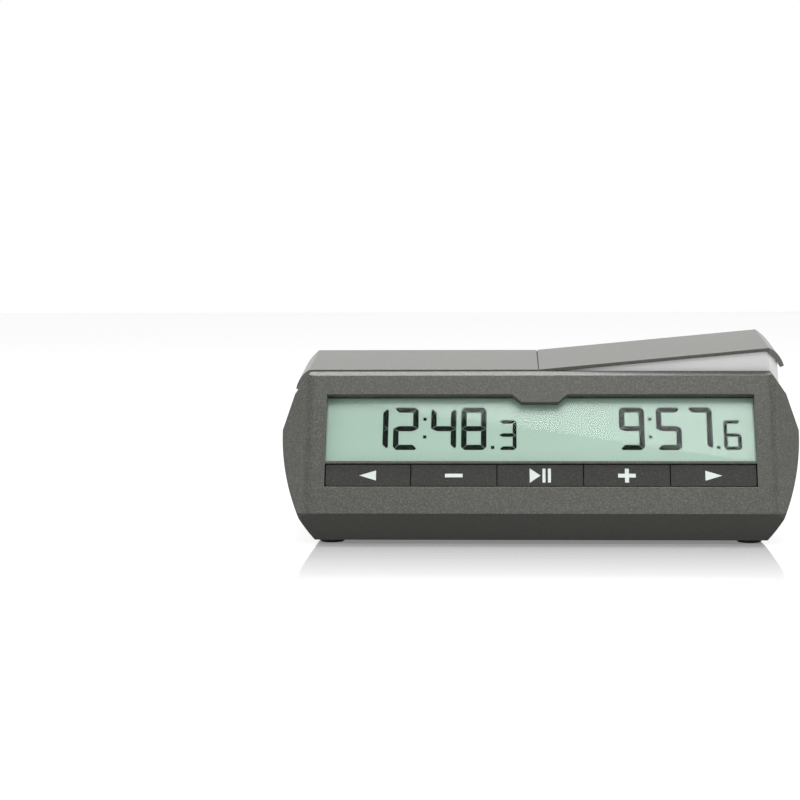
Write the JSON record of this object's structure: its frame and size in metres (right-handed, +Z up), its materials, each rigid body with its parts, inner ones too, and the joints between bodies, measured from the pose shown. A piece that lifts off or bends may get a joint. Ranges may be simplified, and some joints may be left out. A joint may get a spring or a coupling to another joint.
{
  "type": "digital chess clock",
  "caption": "Digital chess clock: leaning display over a row of buttons in a low housing with ridged ends, under a full-width see-saw that each player presses at their own end.",
  "frame": {"origin": "centre of the footprint on the table, under the feet", "axes": "+X to the right along the width, -Y towards the display, +Z up"},
  "size_m": [0.155, 0.053, 0.0614],
  "materials": {
    "housing_grey": "fine metallic speckle in dark grey paint-like plastic",
    "base_grey": "satin dark grey plastic",
    "rocker_silver": "fine-textured light grey plastic",
    "skirt_white": "smooth white plastic",
    "deck_grey": "plain grey plastic",
    "pin_steel": "drawn steel",
    "black_rubber": "matt rubber",
    "acetal": "natural acetal",
    "switch_black": "moulded",
    "board_green": "solder mask on glass-epoxy board",
    "key_grey": "textured rubber-like cap with a pale printed icon",
    "mat_silicone": "silicone",
    "window_clear": "clear acrylic",
    "display_glass": "liquid-crystal glass, pale green, dark segments",
    "bracket_white": "moulded",
    "zebra_rubber": "layered conductive strip",
    "crystal_can": "plain",
    "capacitor_blue": "sleeved",
    "cell_jacket": "printed sleeve without words",
    "contact_nickel": "nickel plate",
    "screw_zinc": "zinc plate",
    "screw_black": "black oxide"
  },
  "bodies": {
    "housing": {"main_housing": "housing_grey", "base_cover": "base_grey", "rocker_pin": "pin_steel", "inner_deck": "deck_grey", "rocker_bumpers": "black_rubber", "switch_bodies": "switch_black", "switch_board": "board_green", "key_mat": "mat_silicone", "key_board": "board_green", "display_window": "window_clear", "lcd_glass": "display_glass", "lcd_bracket": "bracket_white", "zebra_strip": "zebra_rubber", "main_board": "board_green", "controller_chip": "switch_black", "board_crystal": "crystal_can", "board_capacitors": "capacitor_blue", "piezo_sounder": "switch_black", "battery_cell": "cell_jacket", "battery_spring": "contact_nickel", "battery_plates": "contact_nickel", "power_switch": "switch_black", "rubber_feet": "black_rubber", "base_screws": "screw_black", "deck_screws": "screw_zinc", "board_screws": "screw_zinc", "key_board_screws": "screw_zinc", "switch_board_screws": "screw_zinc"},
    "rocker": {"rocker_cover": "rocker_silver", "rocker_skirt": "skirt_white"},
    "left_plunger": {"plunger_left": "acetal"},
    "right_plunger": {"plunger_right": "acetal"},
    "door": {"battery_door": "base_grey"},
    "knob": {"power_knob": "switch_black"},
    "back_button": {"button_back": "key_grey"},
    "minus_button": {"button_minus": "key_grey"},
    "play_button": {"button_play": "key_grey"},
    "plus_button": {"button_plus": "key_grey"},
    "forward_button": {"button_forward": "key_grey"}
  },
  "joints": [
    {"name": "rocker_hinge", "type": "hinge", "parent": "housing", "child": "rocker", "pos_m": [0, 0, 0.045], "axis": [0, 1, 0], "range_deg": [0, 5.3]},
    {"name": "left_plunger_slide", "type": "slide", "parent": "housing", "child": "left_plunger", "axis": [0, 0, 1], "range_m": [0, 0.00112]},
    {"name": "right_plunger_slide", "type": "slide", "parent": "housing", "child": "right_plunger", "axis": [0, 0, 1], "range_m": [-0.00112, 0]},
    {"name": "door_slide", "type": "slide", "parent": "housing", "child": "door", "axis": [0, 1, 0], "range_m": [0, 0.024]},
    {"name": "knob_slide", "type": "slide", "parent": "housing", "child": "knob", "axis": [1, 0, 0], "range_m": [0, 0.0026]},
    {"name": "back_button_slide", "type": "slide", "parent": "housing", "child": "back_button", "axis": [0, 0.9135, -0.4067], "range_m": [0, 0.0007], "stiffness_N_per_m": 400, "springref_m": -0.0005},
    {"name": "minus_button_slide", "type": "slide", "parent": "housing", "child": "minus_button", "axis": [0, 0.9135, -0.4067], "range_m": [0, 0.0007], "stiffness_N_per_m": 400, "springref_m": -0.0005},
    {"name": "play_button_slide", "type": "slide", "parent": "housing", "child": "play_button", "axis": [0, 0.9135, -0.4067], "range_m": [0, 0.0007], "stiffness_N_per_m": 400, "springref_m": -0.0005},
    {"name": "plus_button_slide", "type": "slide", "parent": "housing", "child": "plus_button", "axis": [0, 0.9135, -0.4067], "range_m": [0, 0.0007], "stiffness_N_per_m": 400, "springref_m": -0.0005},
    {"name": "forward_button_slide", "type": "slide", "parent": "housing", "child": "forward_button", "axis": [0, 0.9135, -0.4067], "range_m": [0, 0.0007], "stiffness_N_per_m": 400, "springref_m": -0.0005}
  ],
  "couplings": [
    {"joint": "left_plunger_slide", "follows": "rocker_hinge", "m_per_rad": 0.012},
    {"joint": "right_plunger_slide", "follows": "rocker_hinge", "m_per_rad": -0.012}
  ]
}
